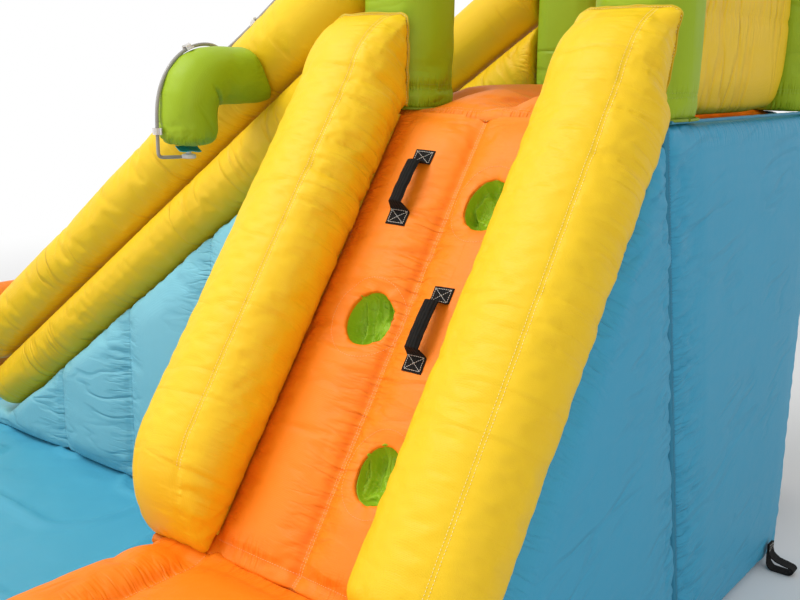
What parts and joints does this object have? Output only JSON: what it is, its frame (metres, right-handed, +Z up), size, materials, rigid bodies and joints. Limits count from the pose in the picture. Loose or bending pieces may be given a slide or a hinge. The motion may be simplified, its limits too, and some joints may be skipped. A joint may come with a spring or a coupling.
{
  "type": "inflatable water park",
  "caption": "Blower-fed inflatable tower with a padded climbing wall, webbing handles and foot pockets, a tube-railed slide, a splash pool and a hose-fed spray arm.",
  "frame": {"origin": "on the ground under the middle of the tower", "axes": "+Z up, the climbing wall faces -Y, the slide runs down towards -X and the blower stands on the +Y side"},
  "size_m": [3.641, 2.604, 2.1991],
  "materials": {
    "blue_cloth": "coated oxford cloth, satin",
    "light_blue_cloth": "coated oxford cloth, satin",
    "orange_cloth": "coated oxford cloth, satin",
    "yellow_cloth": "coated oxford cloth, satin",
    "green_cloth": "coated oxford cloth, satin",
    "black_webbing": "woven webbing, matt",
    "white_cloth": "coated cloth, matt",
    "clear_plastic": "milky soft plastic",
    "blue_plastic": "moulded",
    "green_plastic": "moulded",
    "grey_plastic": "moulded, fine texture",
    "black_plastic": "moulded",
    "zip_steel": "plain"
  },
  "bodies": {
    "park": {"anchor_loop_back_left": "black_webbing", "anchor_loop_back_right": "black_webbing", "anchor_loop_front_left": "black_webbing", "anchor_loop_front_right": "black_webbing", "back_guard": "yellow_cloth", "back_rim": "orange_cloth", "back_wall": "blue_cloth", "blower_cover": "grey_plastic", "blower_grille": "black_plastic", "blower_housing": "grey_plastic", "blower_motor": "black_plastic", "climb_panel": "orange_cloth", "column_back_left": "green_cloth", "column_back_right": "green_cloth", "column_front_left": "green_cloth", "column_front_right": "green_cloth", "deck_pad": "orange_cloth", "deflation_zip": "black_plastic", "far_lower_rail": "yellow_cloth", "far_upper_rail": "yellow_cloth", "foot_pocket_low": "green_cloth", "foot_pocket_middle": "green_cloth", "foot_pocket_top": "green_cloth", "front_mattress": "orange_cloth", "front_rim": "orange_cloth", "handle_lower": "black_webbing", "handle_upper": "black_webbing", "hose_clip_elbow": "clear_plastic", "hose_clip_elbow_end": "clear_plastic", "hose_clip_rail": "clear_plastic", "hose_clip_wall": "clear_plastic", "inlet_sleeve": "blue_cloth", "left_bolster": "yellow_cloth", "left_gusset": "blue_cloth", "left_inner_wall": "blue_cloth", "left_rim": "orange_cloth", "near_lower_rail": "yellow_cloth", "near_upper_rail": "yellow_cloth", "nozzle_bracket": "blue_plastic", "pool_floor": "blue_cloth", "right_bolster": "yellow_cloth", "right_guard": "yellow_cloth", "right_gusset": "blue_cloth", "right_side_wall": "blue_cloth", "sleeve_strap": "black_webbing", "slide_arch": "green_cloth", "slide_bed": "blue_cloth", "slide_far_wall": "light_blue_cloth", "slide_near_wall": "light_blue_cloth", "spray_elbow": "green_cloth", "tower_baffle": "white_cloth", "tower_base": "blue_cloth", "valve_body": "blue_plastic", "water_hose": "clear_plastic"},
    "impeller": {"blower_impeller": "grey_plastic"},
    "switch": {"blower_switch": "black_plastic"},
    "valve_lever": {"valve_lever": "green_plastic"},
    "swivel_nut": {"swivel_nut": "green_plastic"},
    "spray_nozzle": {"spray_nozzle": "clear_plastic"},
    "zip_slider": {"zip_slider": "zip_steel"}
  },
  "joints": [
    {"name": "impeller_spin", "type": "hinge", "parent": "park", "child": "impeller", "pos_m": [0.093, 0.83, 0.167], "axis": [1, 0, 0], "continuous": true},
    {"name": "switch_rock", "type": "hinge", "parent": "park", "child": "switch", "pos_m": [0.16275, 0.83, 0.301], "axis": [0, 1, 0], "range_deg": [-8, 8]},
    {"name": "valve_turn", "type": "hinge", "parent": "park", "child": "valve_lever", "pos_m": [-0.292, 0.533, 0.418], "axis": [0, 1, 0], "range_deg": [0, 90]},
    {"name": "nut_swivel", "type": "hinge", "parent": "park", "child": "swivel_nut", "pos_m": [-0.292, 0.514, 0.36], "axis": [0, 0, 1], "continuous": true},
    {"name": "nozzle_turn", "type": "hinge", "parent": "park", "child": "spray_nozzle", "pos_m": [-0.765, -0.683, 1.165], "axis": [0, 0, 1], "continuous": true},
    {"name": "zip_travel", "type": "slide", "parent": "park", "child": "zip_slider", "axis": [1, 0, 0], "range_m": [0, 0.19]}
  ]
}
